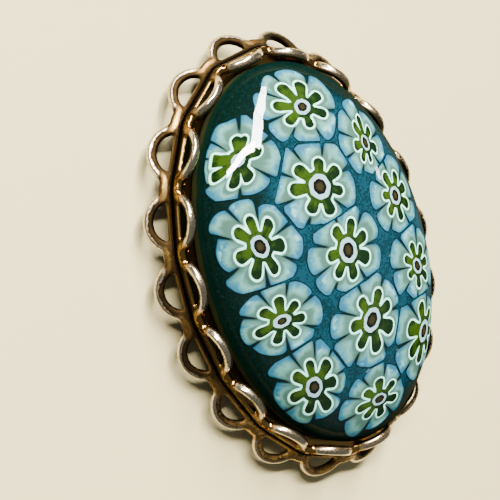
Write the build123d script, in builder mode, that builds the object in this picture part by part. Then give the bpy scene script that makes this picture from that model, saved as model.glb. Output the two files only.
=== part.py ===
from build123d import *
import os
from collections import namedtuple
from math import cos, radians, sin, sqrt

# An oval brooch of glass set with flower slices, in a two-row lace edge of metal loops.
# Units are millimetres. X is across the oval, Y along it and Z out of the glass.
# The brooch lies on its back: Z is zero at the lowest point of its pin.

# Glass oval
glass_length = 25.0
glass_width = 18.0
girdle_wall = 0.45
dome_rise = 4.4
dome_swell = 0.1

# Lace edge
loop_count = 18
fold_offset = 1.12
sheet_thickness = 0.45
spine_width = 0.35
loop_side_gap = 0.2
valley_fillet = 0.3
joint_overlap = 0.24

# Front row: upright loops
front_lean = 90.0
front_crest = 1.5
front_valley = 0.45
front_strap = 0.5
front_root = 0.1

# Back row: loops that flare outwards and down from just under the fold
back_lean = -33.0
back_crest = 1.85
back_valley = 0.75
back_strap = 0.65
back_root = 0.25
back_drop = 0.06

# Plate under the glass
plate_thickness = 0.55
plate_inset = 0.1
fold_above_plate = 0.2
seat_gap = 0.03

# Pin
stem_diameter = 0.7
tip_diameter = 0.25
tip_length = 2.0
tip_past_catch = 0.8
cloth_gap = 0.5
catch_wall = 0.3
catch_gap = 0.1
catch_width = 1.6
catch_mouth = 0.5
hinge_width = 2.2
hinge_corner = 0.35
bar_length = 16.0
bar_width = 2.6
bar_thickness = 0.4
bar_corner = 0.8
bar_share_along = 0.32
hinge_inset = 1.2
catch_inset = 2.4

# Flower slices
petal_count = 7
petal_reach = 2.8
petal_notch = 2.45
slice_depth = 1.4
web = 0.2
inlay_gap = 0.03

# Rods inside each slice
star_reach = 1.6
star_heart = 0.9
lobe_width = 0.66
outline_width = 0.2
eye_radius = 0.66
core_radius = 0.38
inlay_depth = 0.5

# Where each slice lies: shares of the half width and half length, and its turn in degrees
Slice = namedtuple("Slice", "across along turn")
slices = [
    Slice(0.05, 0.76, 6),
    Slice(-0.57, 0.655, 20),
    Slice(-0.15, 0.39, 38),
    Slice(0.46, 0.455, 12),
    Slice(-0.71, 0.26, 30),
    Slice(-0.12, 0.05, 4),
    Slice(0.53, 0.145, 25),
    Slice(-0.74, -0.12, 46),
    Slice(-0.09, -0.335, 15),
    Slice(0.53, -0.24, 33),
    Slice(-0.64, -0.505, 10),
    Slice(0.47, -0.59, 42),
    Slice(-0.135, -0.76, 27),
]

# Heights, stacked up from the underside of the pin
stem_height = stem_diameter / 2 + catch_gap + catch_wall
bar_bottom = stem_height + stem_diameter / 2 + cloth_gap
plate_bottom = bar_bottom + bar_thickness + seat_gap
fold_height = plate_bottom + fold_above_plate
seat_height = plate_bottom + plate_thickness
glass_bottom = seat_height + seat_gap
girdle_height = glass_bottom + girdle_wall

# The dome is the top of an ellipsoid a little wider than the girdle
dome_half_width = glass_width / 2 + dome_swell
dome_half_length = glass_length / 2 + dome_swell
pole_tilt = 90

# The loops stand on the sides of a polygon whose corners share out the fold line evenly
fold_line = Edge.make_ellipse(glass_width / 2 + fold_offset, glass_length / 2 + fold_offset)
side_length = fold_line.length / loop_count
corners = [
    fold_line.position_at(side_length * (k + 0.5), position_mode=PositionMode.LENGTH)
    for k in range(loop_count)
]
loop_radius = side_length / 2 - loop_side_gap

os.makedirs("parts", exist_ok=True)


def loop_planes(lean, height):
    """Planes of one row: X along a polygon side, Y up the loop, at an angle above the horizontal."""
    planes = []
    for k in range(loop_count):
        start = corners[k]
        end = corners[(k + 1) % loop_count]
        along = (end - start).normalized()
        outward = along.cross(Vector(0, 0, 1))
        up = outward * cos(radians(lean)) + Vector(0, 0, sin(radians(lean)))
        origin = (start + end) / 2 + Vector(0, 0, height)
        planes.append(Plane(origin=origin, x_dir=along, z_dir=along.cross(up)))
    return planes


def cut_below(height):
    """Cut the current sketch away under a level line."""
    with Locations((0, height)):
        Rectangle(2 * side_length, 2 * side_length, align=(Align.CENTER, Align.MAX), mode=Mode.SUBTRACT)


def draw_loop(crest, valley, strap, root):
    """One D-shaped loop with its straight spine, on the current sketch."""
    centre = crest - loop_radius
    with Locations((0, centre)):
        Circle(loop_radius)
    with Locations((0, valley)):
        Rectangle(side_length + joint_overlap, valley + root, align=(Align.CENTER, Align.MAX))
    cut_below(-root)
    shoulders = [
        corner for corner in vertices()
        if abs(corner.Y - valley) < joint_overlap and abs(corner.X) < side_length / 2
    ]
    fillet(shoulders, radius=valley_fillet)
    with BuildSketch() as opening:
        with Locations((0, centre)):
            Circle(loop_radius - strap)
        cut_below(spine_width)
    add(opening.sketch, mode=Mode.SUBTRACT)


def dome_plane(place):
    """The plane that touches the dome at a slice's centre, turned with the slice."""
    x = place.across * glass_width / 2
    y = place.along * glass_length / 2
    level = sqrt(1 - (x / dome_half_width) ** 2 - (y / dome_half_length) ** 2)
    centre = Vector(x, y, girdle_height + dome_rise * level)
    normal = Vector(x / dome_half_width ** 2, y / dome_half_length ** 2, level / dome_rise).normalized()
    turned = Vector(cos(radians(place.turn)), sin(radians(place.turn)), 0)
    across = turned.cross(normal).normalized()
    return Plane(origin=centre, x_dir=normal.cross(across), z_dir=normal)


slice_planes = [dome_plane(place) for place in slices]


def draw_petals(grow):
    """The scalloped outline of one slice, on the current sketch."""
    tip = petal_reach + grow
    notch = petal_notch + grow
    step = 360 / petal_count
    with BuildLine() as outline:
        for k in range(petal_count):
            ThreePointArc(
                Vector(notch, 0).rotate(Axis.Z, step * k),
                Vector(tip, 0).rotate(Axis.Z, step * (k + 0.5)),
                Vector(notch, 0).rotate(Axis.Z, step * (k + 1)),
            )
    make_face(outline.line)


def draw_star(grow):
    """The star of round lobes inside one slice, on the current sketch."""
    reach = star_reach + grow
    Circle(star_heart + grow)
    with PolarLocations(reach / 2, petal_count, start_angle=180 / petal_count):
        SlotOverall(reach, lobe_width + 2 * grow)


def slice_block(index, grow, depth):
    """The block of glass that one slice takes up, cut back halfway to each neighbour."""
    plane = slice_planes[index]
    with BuildPart() as block:
        with BuildSketch(plane):
            draw_petals(grow)
        extrude(amount=depth, both=True)
        for other in slice_planes:
            apart = other.origin - plane.origin
            if 0 < apart.length < 2 * petal_reach + slice_depth:
                middle = plane.origin + apart.normalized() * (apart.length / 2 - web / 2 + grow)
                split(bisect_by=Plane(origin=middle, z_dir=apart), keep=Keep.BOTTOM)
    return block.part


with BuildPart() as dome:
    Sphere(1, rotation=(pole_tilt, 0, -90))
    scale(by=(dome_half_width, dome_half_length, dome_rise))
dome_body = dome.part.moved(Location((0, 0, girdle_height)))


with BuildPart() as gallery_setting:
    with BuildSketch(Plane.XY.offset(plate_bottom)):
        with BuildLine():
            Polyline(*corners, close=True)
        make_face()
        offset(amount=-plate_inset, mode=Mode.REPLACE)
    extrude(amount=plate_thickness)
    with BuildSketch(*loop_planes(front_lean, fold_height)):
        draw_loop(front_crest, front_valley, front_strap, front_root)
    extrude(amount=-sheet_thickness)
    with BuildSketch(*loop_planes(back_lean, fold_height - back_drop)):
        draw_loop(back_crest, back_valley, back_strap, back_root)
    extrude(amount=sheet_thickness)

gallery_setting.part.label = "gallery_setting"
export_step(gallery_setting.part, "parts/gallery_setting.step")

with BuildPart() as glass_base:
    with BuildSketch(Plane.XY.offset(glass_bottom)):
        Ellipse(glass_width / 2, glass_length / 2)
    extrude(amount=girdle_wall + 2 * dome_rise)
    add(dome_body, mode=Mode.INTERSECT)
    for index in range(len(slices)):
        add(slice_block(index, inlay_gap, slice_depth + inlay_gap), mode=Mode.SUBTRACT)

glass_base.part.label = "glass_base"
export_step(glass_base.part, "parts/glass_base.step")

# Each slice, with a star-shaped well for the rods inside it
for index, plane in enumerate(slice_planes):
    with BuildPart() as cane:
        add(slice_block(index, 0, slice_depth))
        add(dome_body, mode=Mode.INTERSECT)
        with BuildSketch(plane.offset(-inlay_depth - inlay_gap)):
            draw_star(outline_width + inlay_gap)
        extrude(amount=dome_rise, mode=Mode.SUBTRACT)
    name = f"cane_{index + 1:02d}"
    cane.part.label = name
    export_step(cane.part, f"parts/{name}.step")


def draw_disc(radius):
    """A round rod's section, on the current sketch."""
    Circle(radius)


def inlay_rods(draw_outer, outer_size, draw_inner, inner_size):
    """The same rod in every slice, hollow where the next rod sits, with its top in the dome's surface."""
    with BuildPart() as rods:
        with BuildSketch(*[plane.offset(-inlay_depth) for plane in slice_planes]):
            draw_outer(outer_size)
            if draw_inner:
                with BuildSketch() as well:
                    draw_inner(inner_size)
                add(well.sketch, mode=Mode.SUBTRACT)
        extrude(amount=dome_rise)
        add(dome_body, mode=Mode.INTERSECT)
    return rods.part


star_outlines = inlay_rods(draw_star, outline_width, draw_star, inlay_gap)
star_outlines.label = "star_outlines"
export_step(star_outlines, "parts/star_outlines.step")

green_stars = inlay_rods(draw_star, 0, draw_disc, eye_radius + inlay_gap)
green_stars.label = "green_stars"
export_step(green_stars, "parts/green_stars.step")

white_eyes = inlay_rods(draw_disc, eye_radius, draw_disc, core_radius + inlay_gap)
white_eyes.label = "white_eyes"
export_step(white_eyes, "parts/white_eyes.step")

dark_cores = inlay_rods(draw_disc, core_radius, None, 0)
dark_cores.label = "dark_cores"
export_step(dark_cores, "parts/dark_cores.step")

# The pin lies across the back, above the middle, on one line of heights
bar_along = bar_share_along * glass_length / 2
hinge_across = -bar_length / 2 + hinge_inset
catch_across = bar_length / 2 - catch_inset
stem_end = catch_across + catch_width / 2 + tip_past_catch
catch_radius = stem_height
catch_bore = stem_diameter / 2 + catch_gap
neck_length = bar_bottom + bar_thickness / 2 - stem_height - catch_bore

with BuildPart() as pin_back:
    with BuildSketch(Plane.XY.offset(bar_bottom)):
        with Locations((0, bar_along)):
            RectangleRounded(bar_length, bar_width, bar_corner)
    extrude(amount=bar_thickness)
    with BuildSketch(Plane.XZ.offset(-bar_along)):
        with Locations((hinge_across, 0)):
            Rectangle(2 * stem_height, bar_bottom + bar_thickness / 2, align=(Align.CENTER, Align.MIN))
        fillet(vertices().group_by(Axis.Y)[0], radius=hinge_corner)
    extrude(amount=hinge_width / 2, both=True)
    with BuildSketch(Plane.YZ.offset(hinge_across)):
        with Locations((bar_along, stem_height)):
            Circle(stem_diameter / 2)
    extrude(amount=stem_end - tip_length - hinge_across)
    with BuildSketch(Plane.YZ.offset(stem_end - tip_length)):
        with Locations((bar_along, stem_height)):
            Circle(stem_diameter / 2)
    with BuildSketch(Plane.YZ.offset(stem_end)):
        with Locations((bar_along, stem_height)):
            Circle(tip_diameter / 2)
    loft()
    with BuildSketch(Plane.YZ.offset(catch_across)):
        with Locations((bar_along, stem_height)):
            Circle(catch_radius)
            Circle(catch_bore, mode=Mode.SUBTRACT)
            Rectangle(catch_radius, catch_mouth, align=(Align.MIN, Align.CENTER), mode=Mode.SUBTRACT)
        with Locations((bar_along, bar_bottom + bar_thickness / 2)):
            Rectangle(catch_bore, neck_length, align=(Align.CENTER, Align.MAX))
    extrude(amount=catch_width / 2, both=True)

pin_back.part.label = "pin_back"
export_step(pin_back.part, "parts/pin_back.step")
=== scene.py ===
from collections import namedtuple

import bmesh
import bpy
import numpy as np
from bpy.props import FloatProperty, FloatVectorProperty, IntProperty, PointerProperty
from bpy.types import Operator, Panel, PropertyGroup
from mathutils import Matrix, Vector


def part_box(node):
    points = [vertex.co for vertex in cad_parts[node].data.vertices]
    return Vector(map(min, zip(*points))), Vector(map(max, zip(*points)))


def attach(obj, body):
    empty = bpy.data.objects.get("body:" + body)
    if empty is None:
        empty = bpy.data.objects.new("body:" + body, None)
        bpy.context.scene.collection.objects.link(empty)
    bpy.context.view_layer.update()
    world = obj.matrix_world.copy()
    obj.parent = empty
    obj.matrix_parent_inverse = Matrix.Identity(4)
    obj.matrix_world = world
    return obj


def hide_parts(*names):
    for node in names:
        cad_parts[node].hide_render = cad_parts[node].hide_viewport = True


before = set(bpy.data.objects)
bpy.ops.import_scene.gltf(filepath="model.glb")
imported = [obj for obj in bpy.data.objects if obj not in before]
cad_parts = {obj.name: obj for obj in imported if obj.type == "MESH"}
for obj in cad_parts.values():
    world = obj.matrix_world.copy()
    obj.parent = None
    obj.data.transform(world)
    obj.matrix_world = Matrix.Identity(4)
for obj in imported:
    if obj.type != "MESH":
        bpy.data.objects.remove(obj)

bl_info = {
    "name": "Glass brooch",
    "version": (1, 0, 0),
    "blender": (4, 5, 0),
    "location": "3D View > Sidebar > Brooch",
    "description": "Dresses an oval brooch of glass flower slices in a two-row lace edge",
    "category": "Object",
}

MM = 0.001
GLASS_LOW, GLASS_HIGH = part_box("glass_base")
_, SETTING_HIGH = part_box("gallery_setting")
SLICE_NODES = sorted(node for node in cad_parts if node.startswith("cane_"))


def length(name, description, default):
    """A length property, in metres."""
    return FloatProperty(name=name, description=description, default=default, unit="LENGTH", precision=6)


def colour(name, description, default):
    """A colour property, in linear light."""
    return FloatVectorProperty(name=name, description=description, default=default, subtype="COLOR",
                               min=0, max=1)


class BroochSizes(PropertyGroup):
    """Sizes of the brooch's shapes."""

    half_width: length("Glass half width", "Half of the glass across", (GLASS_HIGH.x - GLASS_LOW.x) / 2)
    half_length: length("Glass half length", "Half of the glass along", (GLASS_HIGH.y - GLASS_LOW.y) / 2)
    dome_rise: length("Dome rise", "From the level of the dome's centre to its top", 4.4 * MM)
    dome_swell: length("Dome swell", "How much wider the dome's ellipsoid is than the glass", 0.1 * MM)
    slice_depth: length("Slice depth", "Thickness of the pieces let into the dome", 0.05 * MM)
    ground_depth: length("Ground depth", "How far the ground lies under the slices", 0.02 * MM)
    outline: length("Star outline", "Width of the white line round each star", 0.16 * MM)
    loop_count: IntProperty(name="Loops", description="Loops in each row", default=18, min=8, max=40)
    fold_offset: length("Fold offset", "From the glass to the corners of the fold", 1.12 * MM)
    bend: length("Bend", "Half of the length over which the edge turns at a corner", 0.35 * MM)
    front_sheet: length("Front sheet", "Thickness of the front row", 0.60 * MM)
    back_sheet: length("Back sheet", "Thickness of the back row", 0.45 * MM)
    rounding: length("Rounding", "How far in from an edge the metal is rounded", 0.19 * MM)
    spine: length("Spine", "Width of the straight bar under each opening", 0.35 * MM)
    side_gap: length("Side gap", "From a cell's side to its loop", 0.2 * MM)
    fillet: length("Fillet", "Radius of the hollow between two loops", 0.3 * MM)
    corner: length("Opening corner", "Radius of an opening's lower corners", 0.12 * MM)
    front_crest: length("Front crest", "Height of the front row", 1.5 * MM)
    front_valley: length("Front valley", "Height of the hollows in the front row", 0.45 * MM)
    front_strap: length("Front strap", "Width of the front loops' band", 0.5 * MM)
    front_root: length("Front root", "How far the front row goes on under the fold", 0.28 * MM)
    back_crest: length("Back crest", "Length of the back row", 1.85 * MM)
    back_valley: length("Back valley", "Length of the hollows in the back row", 0.75 * MM)
    back_strap: length("Back strap", "Width of the back loops' band", 0.65 * MM)
    back_drop: length("Back drop", "How far the back row starts under the fold", 0.06 * MM)
    back_lean: FloatProperty(name="Back lean", description="Slope of the back row below the horizontal",
                             default=np.radians(33), subtype="ANGLE")
    plate_inset: length("Plate inset", "From the fold to the plate's edge", 0.1 * MM)
    plate: length("Plate", "Thickness of the plate under the glass", 0.55 * MM)
    plate_bevel: length("Plate bevel", "Bevel round the plate's edge", 0.06 * MM)


class BroochColours(PropertyGroup):
    """Colours of the brooch and its stage."""

    gold: colour("Gold", "Clean gold-tone metal", (0.240, 0.142, 0.043))
    # Rubbed gold serves the worn rims, and also the painted glints, painted light and painted reflection.
    rubbed_gold_and_glint: colour("Rubbed gold", "Gold-tone metal polished by wear", (0.42, 0.23, 0.06))
    # Painted highlight colour for the rims on the right.
    rim_highlight: colour("Gold rim", "Bright rims on the side away from the window", (0.92, 0.68, 0.34))
    # Aged gold is also the colour of the painted shade at the upper left of the loops.
    gold_shade: colour("Aged gold", "Gold-tone metal that has darkened", (0.014, 0.0078, 0.0026))
    worn: colour("Worn metal", "Metal where the gold tone has worn off", (0.54, 0.44, 0.30))
    # Dark colour for the metal's pits and lines, and for the painted shade in the recesses.
    grime_and_shade: colour("Grime", "Dark deposit in the recesses", (0.0030, 0.0018, 0.0010))
    ground: colour("Ground", "Glass between the slices", (0.0030, 0.025, 0.036))
    ground_shade: colour("Ground shade", "Darkest glass between the slices", (0.0012, 0.0125, 0.0160))
    margin: colour("Margin", "Glass round the dome's edge", (0.0007, 0.0046, 0.0028))
    margin_wall: colour("Margin wall", "Upper side of the glass", (0.0014, 0.0075, 0.0045))
    # Painted reflection of the gold setting on the glass's lower side.
    margin_foot_reflection: colour("Margin foot", "Lower side of the glass, lit by the gold", (0.016, 0.017, 0.006))
    speck: colour("Speck", "Small bubbles in the ground", (0.010, 0.040, 0.042))
    petal: colour("Petal", "Petals near the star", (0.034, 0.080, 0.060))
    petal_tip: colour("Petal tip", "Petals at their outer end", (0.008, 0.072, 0.125))
    petal_light: colour("Petal light", "Pale middle of the petals", (0.088, 0.245, 0.210))
    # Colour of the painted highlight patches in the petals.
    petal_gleam: colour("Petal gleam", "Palest places of the petals", (0.150, 0.370, 0.350))
    # Seam colour, used for the dark seams and for the painted shade of the folds.
    petal_seam_and_shade: colour("Petal seam", "Seams between the petals", (0.0010, 0.0050, 0.0054))
    outline: colour("Outline", "Line round each star", (0.34, 0.80, 0.62))
    star: colour("Star", "Light green of the stars", (0.0165, 0.036, 0.0020))
    # Also the colour of the painted shade on the stars' lower right.
    star_shade: colour("Star shade", "Dark green of the stars", (0.0018, 0.008, 0.0015))
    eye: colour("Eye", "Ring round each core", (0.20, 0.33, 0.34))
    core: colour("Core", "Middle of each core", (0.015, 0.013, 0.004))
    core_shade: colour("Core shade", "Rim of each core", (0.002, 0.0015, 0.001))
    floor: colour("Floor", "The surface the brooch lies on", (0.52, 0.43, 0.205))


# One flower slice: its centre, its oval eye and core as (half length, half width, tilt), its lobes as
# (angle, reach) and its petals as (angle of the seam before it, reach at that seam, reach of the
# petal), charted on the dome seen from above. Angles in degrees from X, lengths in millimetres.
Flower = namedtuple("Flower", "x y eye core lobes petals")
FLOWERS = [Flower(*row) for row in (
    (0.46, 9.50, (0.64, 0.46, 0), (0.38, 0.27, 0),
     [(3, 2.1), (50, 1.8), (107, 1.85), (157, 2.15), (195, 1.9), (257, 1.4), (323, 1.95)],
     [(33, 2.0, 2.5), (98, 1.95, 2.65), (137, 2.35, 3.15), (178, 2.4, 3.1), (211, 1.95, 2.4),
      (272, 1.6, 2.65), (333, 2.1, 3.05)]),
    (-5.15, 8.30, (0.46, 0.30, 30), (0.30, 0.16, 30),
     [(2, 1.6), (45, 1.7), (62, 1.55), (158, 1.7), (197, 2.0), (233, 1.85), (268, 1.4)],
     [(12, 2.2, 3.0), (55, 2.7, 2.4), (105, 1.5, 1.75), (150, 1.4, 1.9), (203, 2.1, 2.75),
      (243, 2.05, 2.15), (305, 1.75, 2.5)]),
    (-1.30, 4.90, (0.80, 0.77, 0), (0.49, 0.48, 0),
     [(13, 2.1), (62, 1.85), (121, 2.1), (163, 2.25), (219, 1.92), (270, 1.95), (328, 1.9)],
     [(4, 2.15, 3.2), (53, 2.35, 2.9), (103, 2.6, 3.3), (140, 2.3, 3.65), (179, 2.4, 3.1),
      (221, 2.5, 2.3), (300, 1.65, 2.9)]),
    (4.05, 5.70, (0.50, 0.40, 70), (0.37, 0.27, 70),
     [(25, 1.45), (66, 1.85), (98, 1.5), (170, 1.3), (217, 1.45), (255, 1.35), (320, 1.25)],
     [(0, 1.7, 2.25), (59, 1.9, 2.9), (98, 2.2, 2.7), (143, 2.2, 2.6), (183, 2.1, 2.45),
      (222, 1.9, 2.0), (285, 1.35, 2.1)]),
    (-6.38, 3.22, (0.70, 0.47, 90), (0.46, 0.32, 90),
     [(340, 1.5), (47, 1.8), (86, 2.05), (120, 1.75), (190, 1.45), (242, 2.05), (279, 2.0)],
     [(15, 2.0, 2.6), (72, 2.05, 3.0), (103, 2.6, 3.0), (138, 2.1, 2.15), (207, 1.9, 2.9),
      (260, 2.05, 2.75), (313, 2.0, 2.65)]),
    (-1.10, 0.60, (0.78, 0.70, 80), (0.49, 0.44, 75),
     [(11, 1.95), (56, 2.1), (105, 1.85), (171, 1.75), (218, 2.0), (262, 1.95), (319, 1.95)],
     [(350, 1.7, 3.05), (38, 2.3, 2.9), (92, 2.05, 2.9), (150, 2.2, 3.15), (190, 2.6, 3.25),
      (222, 2.5, 2.6), (285, 1.8, 2.9)]),
    (4.82, 1.78, (0.63, 0.58, 0), (0.40, 0.38, 0),
     [(1, 1.8), (48, 1.75), (102, 1.8), (158, 1.55), (209, 1.65), (261, 1.7), (317, 1.8)],
     [(25, 2.1, 2.7), (85, 2.1, 2.3), (133, 2.1, 2.8), (182, 2.2, 2.8), (221, 2.3, 2.4),
      (285, 1.9, 2.7), (332, 2.2, 2.5)]),
    (-6.70, -1.50, (0.52, 0.39, 0), (0.28, 0.22, 0),
     [(345, 1.45), (33, 1.45), (82, 1.6), (130, 1.5), (190, 1.55), (244, 1.45), (298, 1.45)],
     [(18, 2.2, 2.5), (65, 2.1, 2.4), (108, 2.1, 2.4), (148, 1.9, 2.1), (207, 1.85, 2.1),
      (268, 1.5, 2.3), (325, 2.0, 2.6)]),
    (-0.88, -4.20, (0.80, 0.68, 35), (0.52, 0.43, 30),
     [(9, 2.0), (51, 2.1), (107, 1.85), (170, 1.9), (220, 2.05), (267, 2.25), (320, 2.2)],
     [(355, 2.1, 2.85), (48, 2.4, 3.0), (98, 2.4, 3.1), (145, 2.4, 3.35), (180, 2.6, 3.4),
      (224, 2.7, 3.0), (286, 2.2, 2.7)]),
    (4.85, -3.10, (0.62, 0.48, -42), (0.43, 0.31, -45),
     [(35, 1.65), (91, 1.7), (140, 1.8), (187, 1.45), (253, 1.5), (308, 1.8), (350, 1.75)],
     [(10, 2.2, 2.6), (62, 2.3, 2.8), (118, 2.5, 3.3), (162, 2.6, 3.1), (200, 2.2, 2.2),
      (245, 2.0, 2.4), (300, 2.1, 2.8)]),
    (-5.75, -6.42, (0.70, 0.48, 97), (0.45, 0.31, 100),
     [(350, 1.5), (48, 1.8), (92, 2.0), (127, 1.85), (188, 1.4), (256, 1.8), (293, 2.2)],
     [(5, 1.9, 2.3), (52, 2.4, 3.1), (80, 2.7, 3.15), (110, 2.8, 3.2), (142, 2.3, 2.1),
      (215, 2.0, 2.6), (268, 2.1, 2.45), (318, 1.6, 2.1)]),
    (4.20, -7.40, (0.78, 0.64, 28), (0.50, 0.40, 25),
     [(33, 1.8), (88, 2.1), (150, 2.4), (198, 2.4), (238, 2.2), (285, 1.7), (335, 1.6)],
     [(10, 1.9, 2.3), (60, 2.4, 2.9), (118, 2.6, 3.7), (173, 3.0, 3.8), (208, 3.0, 3.3),
      (247, 2.4, 2.4), (305, 1.8, 1.9)]),
    (-1.25, -9.55, (0.63, 0.39, -18), (0.42, 0.26, -15),
     [(22, 1.65), (87, 1.5), (137, 1.75), (175, 1.95), (212, 1.5), (278, 1.4), (336, 1.9)],
     [(15, 2.0, 2.3), (70, 2.1, 2.5), (122, 2.3, 2.95), (152, 2.5, 3.2), (183, 2.5, 2.8),
      (235, 1.9, 2.05), (308, 1.8, 2.6)]),
)]
FLOWER_ANGLES = np.radians(np.arange(0, 360, 1.0))

# The flowers' small lengths, in millimetres.
FLOWER_GAP = 0.06       # ground left between two flowers
LEAST_ARCH = 0.02       # how far a petal at least reaches past its seams
LEAST_PETAL = 0.05      # how far it at least reaches past the star's outline
HEART_WIDTH = 0.34      # green round the eye
OUTLINE_OVER = 0.05     # how far a star's edge is let out once it is blurred
FULL_STAR = 1.9         # mean reach of a star whose lines have their full width

# Shares and other plain numbers.
LOBE_SHARE = 0.275      # radius of a lobe's round end, of the lobe's reach
NECK_SHARE = 0.76       # half width of a lobe's neck, of that radius
RIM_SHARE = 0.998       # where the petals end, of the dome's oval
RIM_STEP = 0.01         # and how much less for each line inside another
LEAST_SHARE = 0.001     # keeps a divisor off 0
LEAST_FACING = 0.05     # the same for the cosine of an angle
LOBE_FACING = 0.3       # cosine of the widest angle from a lobe's axis at which it counts
TOP_FACING = 0.9        # least cosine between the dome's normal and that of a face on its top
SWAY = 0.006            # unevenness of the polish, as a slope
FIBRE_DRIFT = 0.12      # how much the fibres change from a petal's foot to its tip
FAR = 9.0               # mark of a place that is far from any edge
WALL_MARK = 1.3         # mark of the glass's wall and underside, where its top has 0 to 1

WELD_GAP = 0.001 * MM   # points nearer than this become one
SEAT_GAP = 0.03 * MM    # between the plate and the glass
FOOT_BEVEL = 0.08 * MM  # round the glass's lower edge


def lattice(rows, columns, wrap_columns=True, wrap_rows=False, first_pole=False, last_pole=False):
    """Faces of a grid of points numbered row by row. A pole is a row whose points are all its first one."""
    ids = np.arange(rows * columns).reshape(rows, columns)
    if first_pole:
        ids[0] = ids[0, 0]
    if last_pole:
        ids[-1] = ids[-1, 0]
    if wrap_columns:
        ids = np.hstack([ids, ids[:, :1]])
    if wrap_rows:
        ids = np.vstack([ids, ids[:1]])
    quads = np.stack([ids[:-1, :-1], ids[:-1, 1:], ids[1:, 1:], ids[1:, :-1]], -1)
    faces = []
    if first_pole:
        faces += quads[0][:, [0, 2, 3]].tolist()
        quads = quads[1:]
    if last_pole:
        faces += quads[-1][:, [0, 1, 2]].tolist()
        quads = quads[:-1]
    return quads.reshape(-1, 4).tolist() + faces


def moved(faces, start):
    """The same faces, with their points numbered from a start."""
    return [[index + start for index in face] for face in faces]


def unit(vectors):
    """The same directions, each a unit long."""
    return vectors / np.linalg.norm(vectors, axis=-1, keepdims=True)


def heading(angles):
    """Unit steps in the plan at some angles."""
    return np.stack([np.cos(angles), np.sin(angles)], -1)


def raised(flat, height):
    """Points or steps in the plan, with a height added to each."""
    return np.concatenate([flat, np.full(flat.shape[:-1] + (1,), height)], -1)


def make_piece(name, points, faces, material, nodes, marks, weld=False, normals=None):
    """Puts points and faces into a new object at the origin, and each mark's numbers or vectors on them.

    Points nearer than the gap are welded if asked for, and a dome given as normals lends it its own.
    """
    if not np.isfinite(points).all() or not len(faces):
        raise ValueError(f"{name} can't be made from these sizes")
    mesh = bpy.data.meshes.new(name)
    mesh.from_pydata(points.reshape(-1, 3).tolist(), [], faces)
    for mark, values in marks.items():
        kind, field = ("FLOAT_VECTOR", "vector") if values.ndim == 2 else ("FLOAT", "value")
        attribute = mesh.attributes.new(mark, kind, "POINT")
        attribute.data.foreach_set(field, values.astype(np.float32).ravel())
    work = bmesh.new()
    work.from_mesh(mesh)
    if weld:
        bmesh.ops.remove_doubles(work, verts=work.verts, dist=WELD_GAP)
    loose = [vertex for vertex in work.verts if not vertex.link_faces]
    bmesh.ops.delete(work, geom=loose, context="VERTS")
    bmesh.ops.recalc_face_normals(work, faces=work.faces)
    work.to_mesh(mesh)
    work.free()
    mesh.shade_smooth()
    if normals:
        set_dome_normals(mesh, normals)
    mesh.materials.append(material)
    piece = bpy.data.objects.new(name, mesh)
    bpy.context.scene.collection.objects.link(piece)
    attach(piece, "root")
    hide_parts(*nodes)
    return piece


class Dome:
    """The glass's top: an ellipsoid with half axes a, b and c, cut off by an upright oval wall."""

    def __init__(self, sizes):
        self.axes = np.array([
            sizes.half_width + sizes.dome_swell,
            sizes.half_length + sizes.dome_swell,
            sizes.dome_rise,
        ])
        self.level = GLASS_HIGH.z - sizes.dome_rise
        self.wall = np.array([sizes.half_width, sizes.half_length])

    def normal(self, points):
        """Each coordinate, from the centre, over its half axis squared, made a unit long."""
        return unit((points - [0, 0, self.level]) / self.axes ** 2)

    def point(self, x, y, depth):
        """The dome's point over (x, y), moved in along the dome's normal by a depth."""
        share = 1 - (x / self.axes[0]) ** 2 - (y / self.axes[1]) ** 2
        z = self.level + self.axes[2] * np.sqrt(np.maximum(share, 0))
        points = np.stack([x, y, z], -1)
        return points - self.normal(points) * depth

    def polished_normal(self, points):
        """The dome's normal, swayed along X and Y by three sines of the place, as on hand-polished glass."""
        x, y = points[..., 0] / MM, points[..., 1] / MM
        sway_x = (np.sin(2.1 * x + 1.3 * y) + np.sin(0.7 * x - 2.7 * y + 1)
                  + 0.6 * np.sin(4.3 * x + 3.1 * y))
        sway_y = (np.sin(1.1 * x - 2.3 * y + 2) + np.sin(2.9 * x + 0.9 * y + 4)
                  + 0.6 * np.sin(3.7 * x - 4.1 * y))
        return unit(self.normal(points) + SWAY * np.stack([sway_x, sway_y, 0 * x], -1))

    def reach(self, x, y, angles, share):
        """How far rays from (x, y) go to the wall's oval, shrunk to a share: the root of a quadratic."""
        wall = self.wall * share
        start = np.array([x, y]) / wall
        step = heading(angles) / wall
        a = (step ** 2).sum(-1)
        b = step @ start
        c = start @ start - 1
        return (np.sqrt(b ** 2 - a * c) - b) / a


def read(items, name, width, kind=float):
    """One number, or a row of a width, for each of a mesh's items."""
    values = np.empty(len(items) * width, kind)
    items.foreach_get(name, values)
    return values.reshape(-1, width) if width > 1 else values


def set_dome_normals(mesh, dome):
    """Gives the dome's own normals to the corners of faces that look out of it: its pieces shade as one."""
    facing = read(mesh.polygons, "normal", 3)
    outward = (dome.normal(read(mesh.polygons, "center", 3)) * facing).sum(-1) > TOP_FACING
    corner_face = np.repeat(np.arange(len(facing)), read(mesh.polygons, "loop_total", 1, int))
    points = read(mesh.vertices, "co", 3)[read(mesh.loops, "vertex_index", 1, int)]
    normals = np.where(outward[corner_face][:, None], dome.polished_normal(points), facing[corner_face])
    mesh.normals_split_custom_set(normals.tolist())


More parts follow.
